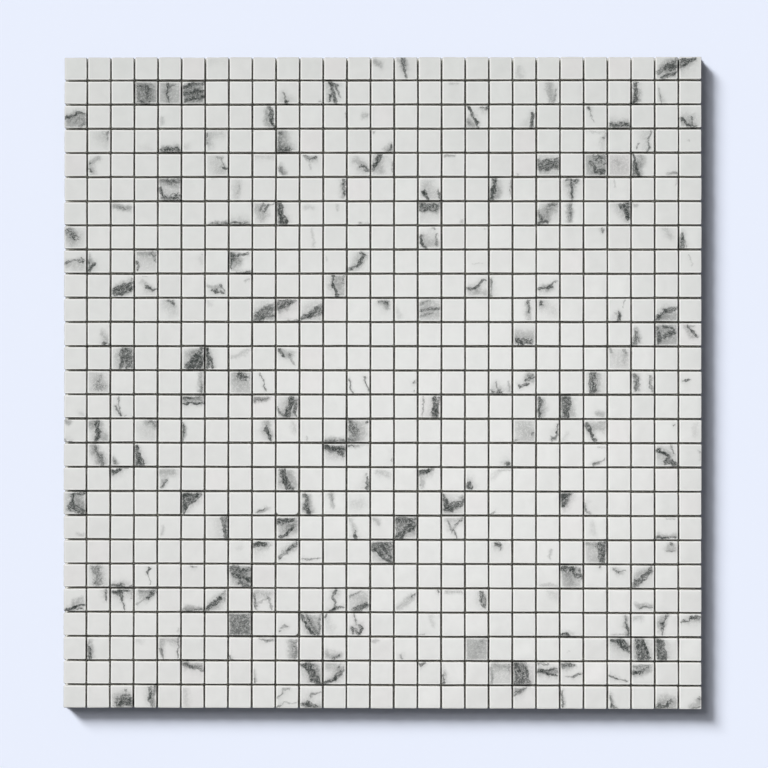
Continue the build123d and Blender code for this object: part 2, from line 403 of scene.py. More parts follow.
        17: (line(0, 20, 35, 60, 13, 80), line(30, 62, 100, 45, 17, 80), line(5, 70, 50, 82, 8, 60),
             smoke(92, 20, 95, 30, 10, 38)),
        19: (line(10, 92, 20, 86, 4, 38),),
        22: (line(10, 10, 50, 5, 12, 80), line(10, 15, 15, 60, 13, 75, 0, 60), smoke(30, 20, 20, 50, 10, 40)),
        23: (line(2, 50, 8, 85, 8, 75), smoke(15, 92, 25, 92, 5, 28)),
    },
    20: {
        1: (smoke(60, 86, 90, 80, 8, 14),),
        5: (smoke(20, 50, 20, 80, 8, 14),),
        7: (line(86, -2, 95, 102, 13, 85, 0, 90),),
        10: (line(0, 25, 75, 8, 10, 85), smoke(50, 45, 90, 32, 28, 34), line(15, 95, 65, 60, 8, 80),
             line(65, 60, 72, 40, 5, 50)),
        13: (line(35, 60, 40, 96, 5, 75, 0, 160), smoke(15, 10, 30, 60, 12, 14)),
        14: (smoke(10, 10, 30, 30, 12, 18),),
        15: (smoke(40, 35, 70, 25, 44, 38), line(10, 14, 90, 10, 12, 60), line(90, 35, 15, 96, 13, 75, 0, 90),
             line(10, 50, 10, 90, 8, 38)),
        17: (smoke(30, 10, 80, 20, 18, 14), line(30, 20, 45, 70, 5, 45), line(90, 15, 50, 60, 6, 50),
             line(50, 60, 70, 98, 4, 50)),
        23: (smoke(35, 30, 40, 70, 14, 8),),
        26: (line(0, 96, 40, 92, 8, 70, 0, 60), line(30, 95, 100, 86, 4, 50), smoke(30, 90, 95, 80, 12, 18),
             smoke(40, 2, 80, 2, 5, 24)),
    },
    21: {
        8: (smoke(40, 30, 60, 30, 10, 6),),
        9: (line(0, 20, 60, 12, 12, 90, 0, 60), smoke(20, 20, 70, 15, 14, 28)),
        10: (line(90, 15, 10, 80, 10, 45), line(95, 10, 50, 45, 7, 50), smoke(60, 40, 90, 20, 18, 18),
             spot(15, 76, 5, 38)),
        11: (line(5, 80, 90, 80, 3, 40),),
        14: (line(5, 15, 100, 20, 18, 60), line(10, 30, 98, 100, 9, 85), line(55, 35, 95, 75, 7, 60),
             smoke(60, 20, 90, 60, 28, 38)),
        19: (spot(38, 14, 10, 75), line(40, 20, 55, 40, 4, 50)),
        21: (smoke(60, 40, 60, 70, 6, 18),),
        23: (line(75, 15, 80, 85, 14, 75), line(95, 10, 93, 100, 7, 80), smoke(10, 10, 50, 10, 14, 24),
             smoke(20, 50, 40, 80, 28, 11)),
        26: (spot(70, 15, 6, 50), line(50, 40, 90, 42, 5, 38), smoke(60, 25, 90, 30, 14, 18)),
    },
    22: {
        2: (smoke(45, 10, 50, 90, 18, 22), specks(40, 20, 50, 80, 20, 40)),
        3: (line(5, 94, 95, 93, 4, 60), specks(10, 88, 60, 88, 6, 70)),
        4: (line(62, 15, 60, 45, 4, 80, 0, 60), line(60, 45, 70, 90, 2, 50)),
        6: (line(35, 5, 65, 5, 4, 38), spot(50, 5, 5, 38)),
        8: (line(0, 15, 100, 20, 13, 75), line(25, 45, 100, 65, 10, 75), line(50, 80, 98, 93, 8, 65),
            smoke(60, 40, 80, 60, 32, 42)),
        21: (smoke(20, 92, 90, 92, 10, 14),),
        22: (specks(10, 12, 50, 12, 12, 95), line(50, 15, 80, 45, 9), line(86, 20, 90, 55, 6, 60),
             smoke(30, 50, 50, 90, 28, 28)),
        23: (spot(70, 5, 6, 60),),
        24: (line(35, 15, 50, 30, 5, 50), line(50, 30, 80, 20, 3, 38), smoke(50, 20, 60, 30, 14, 11)),
        25: (line(5, 86, 85, 20, 13, 65), line(86, 5, 80, 35, 7), smoke(30, 50, 50, 30, 18, 18),
             line(10, 60, 40, 60, 5, 50)),
    },
    23: {
        1: (line(2, 100, 60, 75, 7, 90), line(50, 78, 100, 70, 6, 85), line(10, 100, 90, 88, 3, 60),
            smoke(50, 60, 90, 50, 10, 18)),
        2: (line(86, 5, 88, 50, 6), smoke(80, 5, 80, 30, 8, 18)),
        3: (line(15, 8, 75, 8, 9, 75), line(45, 10, 50, 50, 12, 75, 0, 30), line(50, 50, 65, 95, 4, 60),
            line(90, 0, 90, 40, 5, 38)),
        4: (line(86, 8, 60, 40, 9, 80, 0, 60), line(30, 10, 70, 10, 8, 38), line(10, 70, 60, 45, 4, 28),
            smoke(40, 30, 60, 20, 22, 18)),
        6: (line(10, 94, 95, 92, 6, 50), smoke(30, 88, 90, 88, 11, 28), spot(70, 94, 5, 38)),
        7: (line(10, 86, 65, 35, 10, 80), line(60, 35, 86, 10, 5, 35), smoke(30, 80, 60, 60, 22, 18),
            smoke(86, 10, 90, 50, 8, 24)),
        9: (line(8, 20, 15, 85, 5, 55), smoke(20, 20, 80, 20, 18, 18), line(20, 60, 70, 40, 4, 24),
            line(70, 30, 90, 90, 4, 38)),
        12: (spot(50, 5, 7, 90), line(50, 10, 45, 80, 6, 60), line(20, 100, 45, 86, 6, 90),
             line(50, 86, 90, 80, 6)),
        13: (line(5, 30, 60, 8, 6, 38), line(30, 92, 95, 66, 12), smoke(40, 40, 90, 30, 28, 13),
             line(86, 60, 60, 96, 8, 50)),
        15: (line(75, 30, 98, 20, 5, 50), smoke(20, 80, 80, 30, 13, 18)),
        16: (spot(90, 8, 6, 60),),
        17: (smoke(20, 5, 90, 8, 8, 18),),
        18: (line(75, 20, 80, 80, 9, 65, 6), line(86, 30, 86, 70, 6, 50)),
        21: (smoke(60, 10, 90, 30, 18, 9),),
        25: (line(30, 76, 95, 79, 4, 55), smoke(20, 70, 90, 70, 10, 18)),
    },
    24: {
        5: (smoke(92, 72, 95, 90, 6, 18),),
        8: (smoke(50, 50, 50, 50, 130, 42), specks(50, 50, 50, 60, 60, 30)),
        10: (spot(40, 55, 6, 50), spot(20, 80, 5, 38), line(30, 70, 50, 55, 3, 28)),
        11: (line(0, 5, 65, 95, 8, 85), line(30, 0, 80, 95, 5, 50), smoke(50, 30, 70, 70, 28, 32),
             line(90, 10, 86, 95, 5, 38)),
        12: (line(0, 15, 15, 3, 6), smoke(20, 40, 30, 70, 18, 9)),
        13: (line(32, 5, 38, 50, 3, 60), line(20, 65, 25, 95, 5, 60), line(55, 50, 50, 90, 6, 80, -10),
             line(35, 70, 45, 96, 6, 60)),
        16: (smoke(60, 10, 70, 50, 10, 9), line(10, 95, 30, 90, 4, 28)),
        22: (line(0, 90, 60, 102, 7, 95, 0, 50),),
        24: (line(80, 5, 88, 60, 5, 50), line(88, 50, 95, 98, 6, 60), smoke(85, 20, 90, 90, 12, 28),
             smoke(10, 97, 90, 96, 5, 18)),
        25: (smoke(10, 20, 40, 15, 12, 14),),
        26: (line(50, 5, 30, 50, 5, 50), line(32, 40, 30, 92, 5, 60), smoke(40, 10, 20, 50, 14, 24)),
        27: (line(50, 12, 95, 12, 8, 75), line(10, 35, 50, 20, 4, 55), spot(55, 15, 7, 60),
             smoke(80, 25, 95, 20, 10, 28)),
    },
    25: {
        2: (line(5, 30, 12, 96, 6, 70, 0, 140), smoke(10, 20, 15, 80, 12, 24)),
        4: (smoke(10, 20, 30, 20, 10, 9),),
        5: (line(10, 55, 25, 92, 6, 55), line(93, 5, 90, 90, 5, 50), smoke(40, 10, 90, 18, 18, 18),
            smoke(15, 20, 10, 50, 12, 24)),
        8: (line(2, 86, 25, 98, 6),),
        9: (line(30, 8, 100, 10, 4, 38), smoke(50, 5, 90, 5, 6, 24)),
        10: (smoke(76, 20, 76, 80, 15, 32), line(90, 10, 90, 96, 7, 38)),
        12: (smoke(10, 76, 70, 86, 16, 24), line(40, 96, 75, 80, 5, 50), spot(72, 75, 5, 38)),
        14: (smoke(10, 14, 30, 14, 6, 18),),
        15: (line(30, 75, 35, 96, 5, 45),),
        18: (smoke(50, 50, 50, 50, 95, 27), spot(80, 10, 8, 35)),
        22: (smoke(30, 65, 32, 66, 4, 12),),
        24: (line(20, 5, 100, 65, 8), line(50, 10, 100, 45, 12), smoke(30, 10, 80, 30, 18, 28)),
        25: (line(35, -2, 60, 102, 20, 80, 0, 120), line(50, 10, 80, 90, 7), smoke(10, 30, 20, 80, 14, 18)),
        26: (line(15, 0, 30, 100, 13, 80, 0, 120), line(35, 10, 50, 96, 6, 60),
             smoke(10, 40, 10, 80, 10, 28)),
    },
    26: {
        6: (line(5, 5, 50, 15, 8, 45), line(40, 15, 100, 38, 9, 55), smoke(20, 10, 90, 20, 14, 28)),
        9: (line(10, 75, 15, 96, 5, 50), smoke(10, 40, 15, 90, 8, 18)),
        11: (line(15, 8, 50, 40, 8, 60), line(40, 10, 90, 95, 17), smoke(60, 20, 80, 50, 22, 32),
             line(60, 80, 95, 96, 8, 60)),
        12: (line(2, 95, 50, 70, 8, 85), line(45, 70, 90, 30, 9, 65), spot(65, 22, 7, 70),
             smoke(20, 10, 70, 30, 22, 18)),
        16: (line(5, 8, 35, 3),),
        17: (line(2, 60, 12, 98, 5, 75, 0, 140), smoke(5, 20, 10, 60, 10, 14)),
        19: (line(8, 30, 15, 96, 9, 38), smoke(30, 10, 90, 18, 18, 26), smoke(30, 60, 80, 70, 40, 11),
             line(90, 10, 95, 50, 5, 32)),
        20: (line(25, -2, 45, 102, 30, 75, 0, 110), line(10, 10, 30, 40, 7, 50), line(60, 20, 75, 96, 7, 50)),
        21: (line(10, 35, 95, 30, 5, 80), line(10, 40, 95, 60, 5, 85), line(30, 45, 95, 45, 10, 42),
             line(5, 5, 50, 2, 6, 50)),
        22: (line(10, 15, 60, 12, 6, 60), line(25, 60, 60, 62, 4, 38), line(60, 62, 95, 50, 4, 60),
             smoke(20, 20, 50, 10, 12, 28)),
        24: (line(5, 55, 45, 68), line(40, 67, 90, 78, 3, 50)),
        25: (line(5, 42, 40, 40, 7, 80), line(40, 40, 80, 20, 5, 50), line(10, 20, 80, 10, 6, 38),
             smoke(20, 40, 80, 30, 17, 24)),
    },
    27: {
        3: (line(50, 50, 86, 35, 6, 50), specks(40, 80, 90, 70, 20), smoke(50, 70, 90, 80, 24, 38),
            line(70, 15, 76, 40, 4, 38)),
        4: (line(75, 10, 70, 60, 7), line(95, 5, 86, 40, 6), line(70, 50, 75, 98, 7, 50),
            smoke(80, 40, 86, 90, 10, 28)),
        6: (smoke(20, 20, 25, 80, 14, 11),),
        10: (line(5, 50, 30, 25, 6, 38), line(30, 15, 60, 10, 5, 34), line(2, 95, 20, 86, 5, 50),
             line(30, 80, 95, 75, 3, 24)),
        11: (line(5, 80, 40, 75, 6, 60), line(40, 70, 75, 90, 11, 75), line(50, 40, 90, 25, 6, 38),
             smoke(30, 92, 90, 95, 12, 34)),
        20: (line(5, 40, 30, 20, 7, 55), line(30, 15, 70, 2, 4, 38), smoke(10, 20, 40, 10, 12, 28)),
        22: (line(3, 20, 10, 96), smoke(8, 50, 12, 80, 8, 14)),
        24: (line(5, 40, 15, 90, 5, 60), line(12, 80, 45, 100, 5, 38), smoke(10, 30, 20, 90, 10, 18)),
        26: (line(5, 86, 50, 75, 10, 60), line(45, 75, 75, 55, 9, 50), smoke(30, 70, 80, 70, 24, 22),
             line(5, 92, 90, 95, 6, 38)),
        27: (line(55, 98, 100, 86, 5, 55), line(90, 60, 100, 45, 5, 60), smoke(60, 90, 95, 70, 14, 18)),
    },
}


class Tree:
    """A node tree with short typed calls for adding and joining nodes."""

    def __init__(self, tree: bpy.types.NodeTree) -> None:
        """Keep the tree and empty it."""
        self.tree = tree
        tree.nodes.clear()

    def add(self, kind: str, inputs: dict[str | int, object] | None = None,
            **settings: object) -> bpy.types.Node:
        """Add a node.

        Args:
            kind: The node's type, without the leading ShaderNode.
            inputs: Values or output sockets by input name or number.
            settings: The node's own properties.

        Returns:
            The new node.
        """
        node = self.tree.nodes.new("ShaderNode" + kind)
        for name, value in settings.items():
            setattr(node, name, value)
        for key, value in (inputs or {}).items():
            self.feed(node.inputs[key], value)
        return node

    def feed(self, socket: Socket, value: object) -> None:
        """Join an output socket to an input socket, or set the input's value."""
        if isinstance(value, bpy.types.NodeSocket):
            self.tree.links.new(value, socket)
        else:
            socket.default_value = value

    def math(self, operation: str, *values: object, clamp: bool = False) -> Socket:
        """Return the result of a math node."""
        return self.add("Math", dict(enumerate(values)), operation=operation, use_clamp=clamp).outputs[0]

    def times(self, first: object, second: object) -> Socket:
        """Return the product of two numbers."""
        return self.math("MULTIPLY", first, second)

    def plus(self, first: object, second: object) -> Socket:
        """Return the sum of two numbers."""
        return self.math("ADD", first, second)

    def minus(self, first: object, second: object) -> Socket:
        """Return the first number less the second."""
        return self.math("SUBTRACT", first, second)

    def vector(self, operation: str, *values: object) -> Socket:
        """Return the result of a vector math node, a number for dot products and lengths."""
        node = self.add("VectorMath", dict(enumerate(values)), operation=operation)
        return node.outputs["Value" if operation in ("DOT_PRODUCT", "LENGTH") else "Vector"]

    def scaled(self, value: object, factor: object) -> Socket:
        """Return a colour or a vector times a number."""
        return self.add("VectorMath", {0: value, "Scale": factor}, operation="SCALE").outputs["Vector"]

    def split(self, value: object) -> list[Socket]:
        """Return a vector's three numbers."""
        return list(self.add("SeparateXYZ", {0: value}).outputs)

    def joined(self, x: object, y: object, z: object) -> Socket:
        """Return three numbers as a vector."""
        return self.add("CombineXYZ", {0: x, 1: y, 2: z}).outputs[0]

    def remap(self, value: object, low: object, high: object, to_low: object = 0.0,
              to_high: object = 1.0) -> Socket:
        """Return value carried smoothly from one range to another and held inside it."""
        inputs = {"Value": value, "From Min": low, "From Max": high, "To Min": to_low, "To Max": to_high}
        return self.add("MapRange", inputs, interpolation_type="SMOOTHSTEP", clamp=True).outputs["Result"]

    def mix(self, share: object, first: object, second: object) -> Socket:
        """Return a mix of two colours."""
        return self.add("Mix", {0: share, 6: first, 7: second}, data_type="RGBA").outputs[2]

    def between(self, share: object, first: object, second: object) -> Socket:
        """Return a mix of two numbers."""
        return self.add("Mix", {0: share, 2: first, 3: second}).outputs[0]

    def noise(self, place: object, scale: float, detail: float, rough: float = 0.55,
              warp: float = 0.0, output: str = "Fac") -> Socket:
        """Return a noise texture's value, or its colour."""
        inputs = {"Vector": place, "Scale": scale, "Detail": detail, "Roughness": rough, "Distortion": warp}
        return self.add("TexNoise", inputs).outputs[output]

    def place(self) -> Socket:
        """Return where a point lies on the sheet, in metres."""
        return self.add("TexCoord").outputs["Object"]

    def group(self, group: bpy.types.NodeTree, inputs: dict[str, object]) -> bpy.types.Node:
        """Place a node group with its own values."""
        node = self.tree.nodes.new("ShaderNodeGroup")
        node.node_tree = group
        for name, value in inputs.items():
            self.feed(node.inputs[name], value)
        return node


class Group(Tree):
    """A shader node group with named inputs and outputs."""

    def __init__(self, name: str, inputs: dict[str, object], outputs: dict[str, str]) -> None:
        """Make the group's sockets.

        Args:
            name: The group's name.
            inputs: Default value by input name. Its type gives the socket's type.
            outputs: Socket type by output name, Float or Color.
        """
        super().__init__(bpy.data.node_groups.new(name, "ShaderNodeTree"))
        interface = self.tree.interface
        for label, value in inputs.items():
            kind = "Float" if isinstance(value, float) else ("Color" if len(value) == 4 else "Vector")
            socket = interface.new_socket(label, in_out="INPUT", socket_type="NodeSocket" + kind)
            socket.default_value = value
        for label, kind in outputs.items():
            interface.new_socket(label, in_out="OUTPUT", socket_type="NodeSocket" + kind)
        self.given = self.tree.nodes.new("NodeGroupInput").outputs
        self.made = self.tree.nodes.new("NodeGroupOutput").inputs


def rgba(colour: Colour) -> Four:
    """Return a colour with full alpha."""
    return (*colour, 1.0)


@dataclass(frozen=True)
class MarkGrain:
    """How a mark fades, tears and streaks, on a face one unit wide."""

    arch: float = 4.0
    core_fade: float = 0.7
    halo_fade: float = 0.12
    halo_share: float = 0.2
    stretch: float = 0.22
    grains: float = 13.0
    fibres: float = 12.0
    streaks: float = 26.0
    roughness: float = 0.7
    fibre_warp: float = 0.6
    streak_warp: float = 0.7
    crisp_edge: tuple[float, float] = (0.32, 0.7)
    outer_edge: tuple[float, float] = (0.06, 0.22)
    streak_edge: tuple[float, float] = (0.42, 0.62)
    streak_share: float = 0.3
    least_length: float = 1e-4
    least_reach: float = 1e-3


def vein_mark_group(grain: MarkGrain) -> bpy.types.NodeTree:
    """Build the group that stains a face along one mark.

    Args:
        grain: How the mark fades, tears and streaks.

    Returns:
        A group whose Stain is 0 on clear stone and 1 in the darkest vein, as even steps to the eye.
    """
    g = Group("Vein mark", {
        "Face Point": (0.5, 0.5, 0.0), "Ends": (0.0, 0.0, 0.0), "End V": 0.0, "Look": (0.0, 0.0, 0.0),
        "Fade": 1.0, "Shape": (0.0, 0.0, 0.0), "Ragged": 0.0, "Seed": 0.0,
    }, {"Stain": "Float"})
    point, seed = g.given["Face Point"], g.given["Seed"]
    start_u, start_v, end_u = g.split(g.given["Ends"])
    start_reach, end_reach, depth = g.split(g.given["Look"])
    bend, crispness, fibre_share = g.split(g.given["Shape"])

    # How far the point lies along the mark, across it from its bowed middle line, and beyond its ends.
    start = g.joined(start_u, start_v, 0.0)
    run = g.vector("SUBTRACT", g.joined(end_u, g.given["End V"], 0.0), start)
    off = g.vector("SUBTRACT", point, start)
    length = g.math("MAXIMUM", g.vector("LENGTH", run), grain.least_length)
    along = g.math("DIVIDE", g.vector("DOT_PRODUCT", run, off), length)
    share = g.math("DIVIDE", along, length, clamp=True)
    bow = g.times(g.times(share, g.minus(1.0, share)), g.times(bend, grain.arch))
    (run_u, run_v, _), (off_u, off_v, _) = g.split(run), g.split(off)
    across = g.minus(g.times(run_u, off_v), g.times(run_v, off_u))
    across = g.minus(g.math("DIVIDE", across, length), bow)
    beyond = g.minus(along, g.times(share, length))

    # A dark body that fades with the distance in half widths, and a faint halo round it.
    reach = g.math("MAXIMUM", g.between(share, start_reach, end_reach), grain.least_reach)
    side = g.between(g.math("GREATER_THAN", across, 0.0), 1.0, g.given["Fade"])
    wide = g.math("POWER", g.math("DIVIDE", across, g.times(reach, side)), 2.0)
    far = g.plus(wide, g.math("POWER", g.math("DIVIDE", beyond, reach), 2.0))
    body = g.math("EXPONENT", g.times(far, -grain.core_fade))
    halo = g.math("EXPONENT", g.times(far, -grain.halo_fade))
    halo = g.times(halo, g.times(crispness, grain.halo_share))

    # Grains and fibres tear the body's edge, and streaks along the mark thin it.
    flow = g.joined(g.times(along, grain.stretch), across, seed)
    grain_point = g.vector("ADD", point, g.joined(0.0, 0.0, seed))
    grains = g.noise(grain_point, grain.grains, detail=4.0, rough=grain.roughness)
    fibres = g.noise(flow, grain.fibres, detail=5.0, rough=grain.roughness, warp=grain.fibre_warp)
    torn = g.times(g.minus(g.between(fibre_share, grains, fibres), 0.5), g.given["Ragged"])
    crisp = g.times(g.remap(g.plus(body, torn), *grain.crisp_edge), g.remap(body, *grain.outer_edge))
    streaks = g.noise(flow, grain.streaks, detail=4.0, rough=grain.roughness, warp=grain.streak_warp)
    crisp = g.times(crisp, g.remap(streaks, *grain.streak_edge, 1.0, grain.streak_share))
    soft = g.times(body, g.plus(1.0, torn))
    stain = g.math("MAXIMUM", g.between(crispness, soft, crisp), halo)
    g.feed(g.made["Stain"], g.math("MULTIPLY", stain, depth, clamp=True))
    return g.tree


@dataclass(frozen=True)
class StoneGrain:
    """How the stone bends its veins, lays pale threads over them, and clouds, on a face one unit wide."""

    swirls: tuple[tuple[float, float], ...] = ((2.2, 0.38), (9.0, 0.14))
    seed_shift: Point = (3.1, 1.7, 1.0)
    seed_step: float = 3.3
    threads: float = 10.0
    thread_edge: tuple[float, float] = (0.47, 0.6)
    thread_share: float = 0.42
    darkening: float = 2.4
    clouds: float = 1.7
    cloud_edge: tuple[float, float] = (0.3, 0.7)
    cloud_light: tuple[float, float] = (0.975, 1.015)


def marble_group(mark: bpy.types.NodeTree, grain: StoneGrain) -> bpy.types.NodeTree:
    """Build the stone's colour: clear stone, its clouds and up to four veins.

    Args:
        mark: The group of one mark.
        grain: The stone's own pattern.

    Returns:
        A group that gives the stone's Colour and how much of it is Vein.
    """
    g = Group("Veined marble", {
        "Clear Stone": rgba((0.7, 0.7, 0.7)), "Warm Stone": rgba((0.7, 0.69, 0.68)),
        "Vein Stone": rgba((0.03, 0.035, 0.03)),
    }, {"Colour": "Color", "Vein": "Float"})
    warmth, light, seed = g.split(g.add("Attribute", attribute_name="chip_tone").outputs["Color"])
    face = g.add("UVMap", uv_map="ChipFace").outputs["UV"]
    local = g.vector("ADD", face, g.scaled(grain.seed_shift, seed))
    point = face
    for size, amount in grain.swirls:
        swirl = g.noise(local, size, detail=2.0, rough=0.5, output="Color")
        swirl = g.vector("SUBTRACT", swirl, (0.5, 0.5, 0.5))
        point = g.vector("ADD", point, g.scaled(swirl, amount))
    point = g.vector("MULTIPLY", point, (1.0, 1.0, 0.0))

    clear = 1.0
    for slot in range(1, MARKS_PER_CHIP + 1):
        ends, look, shape = (g.add("Attribute", attribute_name=f"vein_{slot}_{part}").outputs
                             for part in ("ends", "look", "shape"))
        stain = g.group(mark, {
            "Face Point": point, "Ends": ends["Color"], "End V": ends["Alpha"], "Look": look["Color"],
            "Fade": look["Alpha"], "Shape": shape["Color"], "Ragged": shape["Alpha"],
            "Seed": g.plus(seed, grain.seed_step * slot)}).outputs["Stain"]
        clear = g.times(clear, g.minus(1.0, stain))
    threads = g.noise(point, grain.threads, detail=4.0, rough=0.7, warp=1.6)
    threads = g.remap(threads, *grain.thread_edge, 1.0, grain.thread_share)
    stained = g.times(g.minus(1.0, clear), threads)
    vein = g.math("SUBTRACT", 1.0, g.math("POWER", g.minus(1.0, stained), grain.darkening), clamp=True)

    clouds = g.noise(local, grain.clouds, detail=3.0, rough=0.5, warp=0.4)
    clouds = g.remap(clouds, *grain.cloud_edge, *grain.cloud_light)
    ground = g.mix(warmth, g.given["Clear Stone"], g.given["Warm Stone"])
    ground = g.scaled(ground, g.times(clouds, light))
    g.feed(g.made["Colour"], g.mix(vein, ground, g.given["Vein Stone"]))
    g.feed(g.made["Vein"], vein)
    return g.tree


def edge_group() -> bpy.types.NodeTree:
    """Build the masks of a chip's eased rim (painted highlight) and of its arris (painted shade), 1 at the
    edge and 0 inside.

    Returns:
        A group that gives the Rim and Arris masks.
    """
    g = Group("Eased rim", {"Width": 0.08, "Arris Width": 0.02}, {"Rim": "Float", "Arris": "Float"})
    u, v, _ = g.split(g.add("UVMap", uv_map="ChipFace").outputs["UV"])
    nearest = g.math("MINIMUM", *(g.math("MINIMUM", value, g.minus(1.0, value)) for value in (u, v)))
    for mask, width, core in (("Rim", g.given["Width"], 0.35), ("Arris", g.given["Arris Width"], 0.6)):
        g.feed(g.made[mask], g.remap(nearest, g.times(width, core), width, 1.0, 0.0))
    return g.tree


def grain_group() -> bpy.types.NodeTree:
    """Build fine grain over any surface, as used on sawn stone, adhesive and paper.

    Returns:
        A group that gives the grain's Height and a Tint factor around 1.
    """
    g = Group("Fine grain", {"Grains per Metre": 900.0, "Stretch": (1.0, 1.0, 1.0), "Tint Range": 0.1},
              {"Height": "Float", "Tint": "Float"})
    place = g.scaled(g.vector("MULTIPLY", g.place(), g.given["Stretch"]), g.given["Grains per Metre"])
    height = g.noise(place, 1.0, detail=5.0, rough=0.6, warp=0.3)
    g.feed(g.made["Height"], height)
    tint = g.times(g.minus(height, 0.5), g.given["Tint Range"])
    g.feed(g.made["Tint"], g.plus(1.0, g.times(tint, 2.0)))
    return g.tree


def balance_group() -> bpy.types.NodeTree:
    """Build the painted shade and painted light of the sheet's outer sides, which the low lamp hits full on,
    and of the rest.

    Returns:
        A group whose Colour is the given one, darkened on the outer sides by Painted Side Shade as painted
        shade. Where it is seen for the light that it throws on, it is scaled by Outside on the outer sides
        and by Inside elsewhere, painting less or more bounced light than the colour throws.
    """
    g = Group("Side balance", {
        "Colour": (0.5, 0.5, 0.5, 1.0), "Bounce": 0.0, "Painted Side Shade": 0.85, "Outside": 0.08, "Inside": 1.0,
        "Half Width": 148.5 * MM, "Half Height": 151.5 * MM,
    }, {"Colour": "Color"})
    x, y, _ = g.split(g.place())
    outer = g.math("MAXIMUM", *(g.math("GREATER_THAN", g.math("ABSOLUTE", value), g.given[half])
                                for value, half in ((x, "Half Width"), (y, "Half Height"))))
    # Painted shade: the outer sides are darkened where they are seen.
    seen = g.between(outer, 1.0, g.given["Painted Side Shade"])
    # Painted light: what the surfaces throw on others is scaled, far less from the outer sides.
    thrown = g.between(outer, g.given["Inside"], g.given["Outside"])
    g.feed(g.made["Colour"], g.scaled(g.given["Colour"], g.between(g.given["Bounce"], seen, thrown)))
    return g.tree


@dataclass
class Effects:
    """The node groups that the finishes share, each built once."""

    marble: bpy.types.NodeTree = field(init=False)
    rim_highlight: bpy.types.NodeTree = field(init=False)
    grain: bpy.types.NodeTree = field(init=False)
    balance: bpy.types.NodeTree = field(init=False)

    def __post_init__(self) -> None:
        """Build every group."""
        self.marble = marble_group(vein_mark_group(MarkGrain()), StoneGrain())
        self.rim_highlight = edge_group()
        self.grain = grain_group()
        self.balance = balance_group()


class Finish:
    """A finish that builds one material."""

    name = "finish"

    def shade(self, tree: Tree, effects: Effects) -> Socket:
        """Build the surface and return its shader."""
        raise NotImplementedError

    def balance(self, tree: Tree, effects: Effects, colour: Socket, inside: float = 1.0) -> Socket:
        """Return the colour with painted shade on the outer sides, and scaled as painted light where it
        throws light on.
        """
        bounce = tree.add("LightPath").outputs["Is Diffuse Ray"]
        inputs = {"Colour": colour, "Bounce": bounce, "Inside": inside}
        return tree.group(effects.balance, inputs).outputs["Colour"]

    def material(self, effects: Effects) -> bpy.types.Material:
        """Build the finish's material.

        Args:
            effects: The shared node groups.

        Returns:
            The material.
        """
        material = bpy.data.materials.new(self.name)
        material.use_nodes = True
        tree = Tree(material.node_tree)
        tree.add("OutputMaterial", {"Surface": self.shade(tree, effects)})
        return material


class VeinedStone(Finish):
    """A finish of veined stone, in its own tones."""

    clear: Colour
    warm: Colour
    vein: Colour

    def stone(self, tree: Tree, effects: Effects) -> bpy.types.Node:
        """Place the stone in these tones and return its node."""
        return tree.group(effects.marble, {"Clear Stone": rgba(self.clear), "Warm Stone": rgba(self.warm),
                                           "Vein Stone": rgba(self.vein)})


@dataclass(frozen=True)
class PolishedMarble(VeinedStone):
    """The chips' polished, veined faces, with a painted highlight on their eased rims and painted shade on
    their arrises.
    """

    name: str = "polished marble"
    clear: Colour = (0.676, 0.689, 0.670)
    warm: Colour = (0.694, 0.686, 0.674)
    vein: Colour = (0.010, 0.015, 0.012)
    rim_highlight: Colour = (0.85, 0.85, 0.83)
    painted_arris_shade: Colour = (0.33, 0.33, 0.31)
    rim_width: float = 0.085
    rim_share: float = 0.9
    rim_share_on_vein: float = 0.05
    roughness: float = 0.13
    rim_roughness: float = 0.2
    vein_roughness: float = 0.34

    def shade(self, tree: Tree, effects: Effects) -> Socket:
        """Polish the veined stone, paint a highlight on its rim and paint shade on its arris."""
        stone = self.stone(tree, effects).outputs
        rim_highlight, arris = tree.group(effects.rim_highlight, {"Width": self.rim_width}).outputs
        # Painted highlight: the rim is mixed towards a pale colour, less so over the veins.
        hidden = tree.times(stone["Vein"], self.rim_share - self.rim_share_on_vein)
        painted_highlight = tree.times(rim_highlight, tree.minus(self.rim_share, hidden))
        colour = tree.mix(painted_highlight, stone["Colour"], rgba(self.rim_highlight))
        # Painted shade: the arris is mixed towards grey, which widens the dark line of each joint.
        colour = self.balance(tree, effects, tree.mix(arris, colour, rgba(self.painted_arris_shade)))
        grain = tree.group(effects.grain, {"Grains per Metre": 700.0, "Tint Range": 0.3}).outputs["Tint"]
        rough = tree.plus(tree.times(grain, self.roughness), tree.times(rim_highlight, self.rim_roughness))
        rough = tree.plus(rough, tree.times(stone["Vein"], self.vein_roughness))
        return tree.add("BsdfPrincipled", {"Base Color": colour, "Roughness": rough, "IOR": 1.5}).outputs[0]


@dataclass(frozen=True)
class SawnMarble(VeinedStone):
    """The chips' sawn sides, matte and toned down as painted shade against the low lamp, where the veins run
    down from the faces.
    """

    name: str = "sawn marble"
    clear: Colour = (0.48, 0.48, 0.46)
    warm: Colour = (0.488, 0.476, 0.451)
    vein: Colour = (0.04, 0.045, 0.04)
    # Painted light: the joint walls throw 1.9 times their colour into the joints.
    joint_bounce: float = 1.9
    roughness: float = 0.7

    def shade(self, tree: Tree, effects: Effects) -> Socket:
        """Grain the stone with the saw's fine lines."""
        stone = self.stone(tree, effects).outputs
        saw = tree.group(effects.grain, {"Grains per Metre": 500.0, "Stretch": (1.0, 1.0, 8.0),
                                         "Tint Range": 0.35}).outputs["Tint"]
        colour = self.balance(tree, effects, tree.scaled(stone["Colour"], saw), self.joint_bounce)
        rough = tree.times(saw, self.roughness)
        return tree.add("BsdfPrincipled", {"Base Color": colour, "Roughness": rough}).outputs[0]


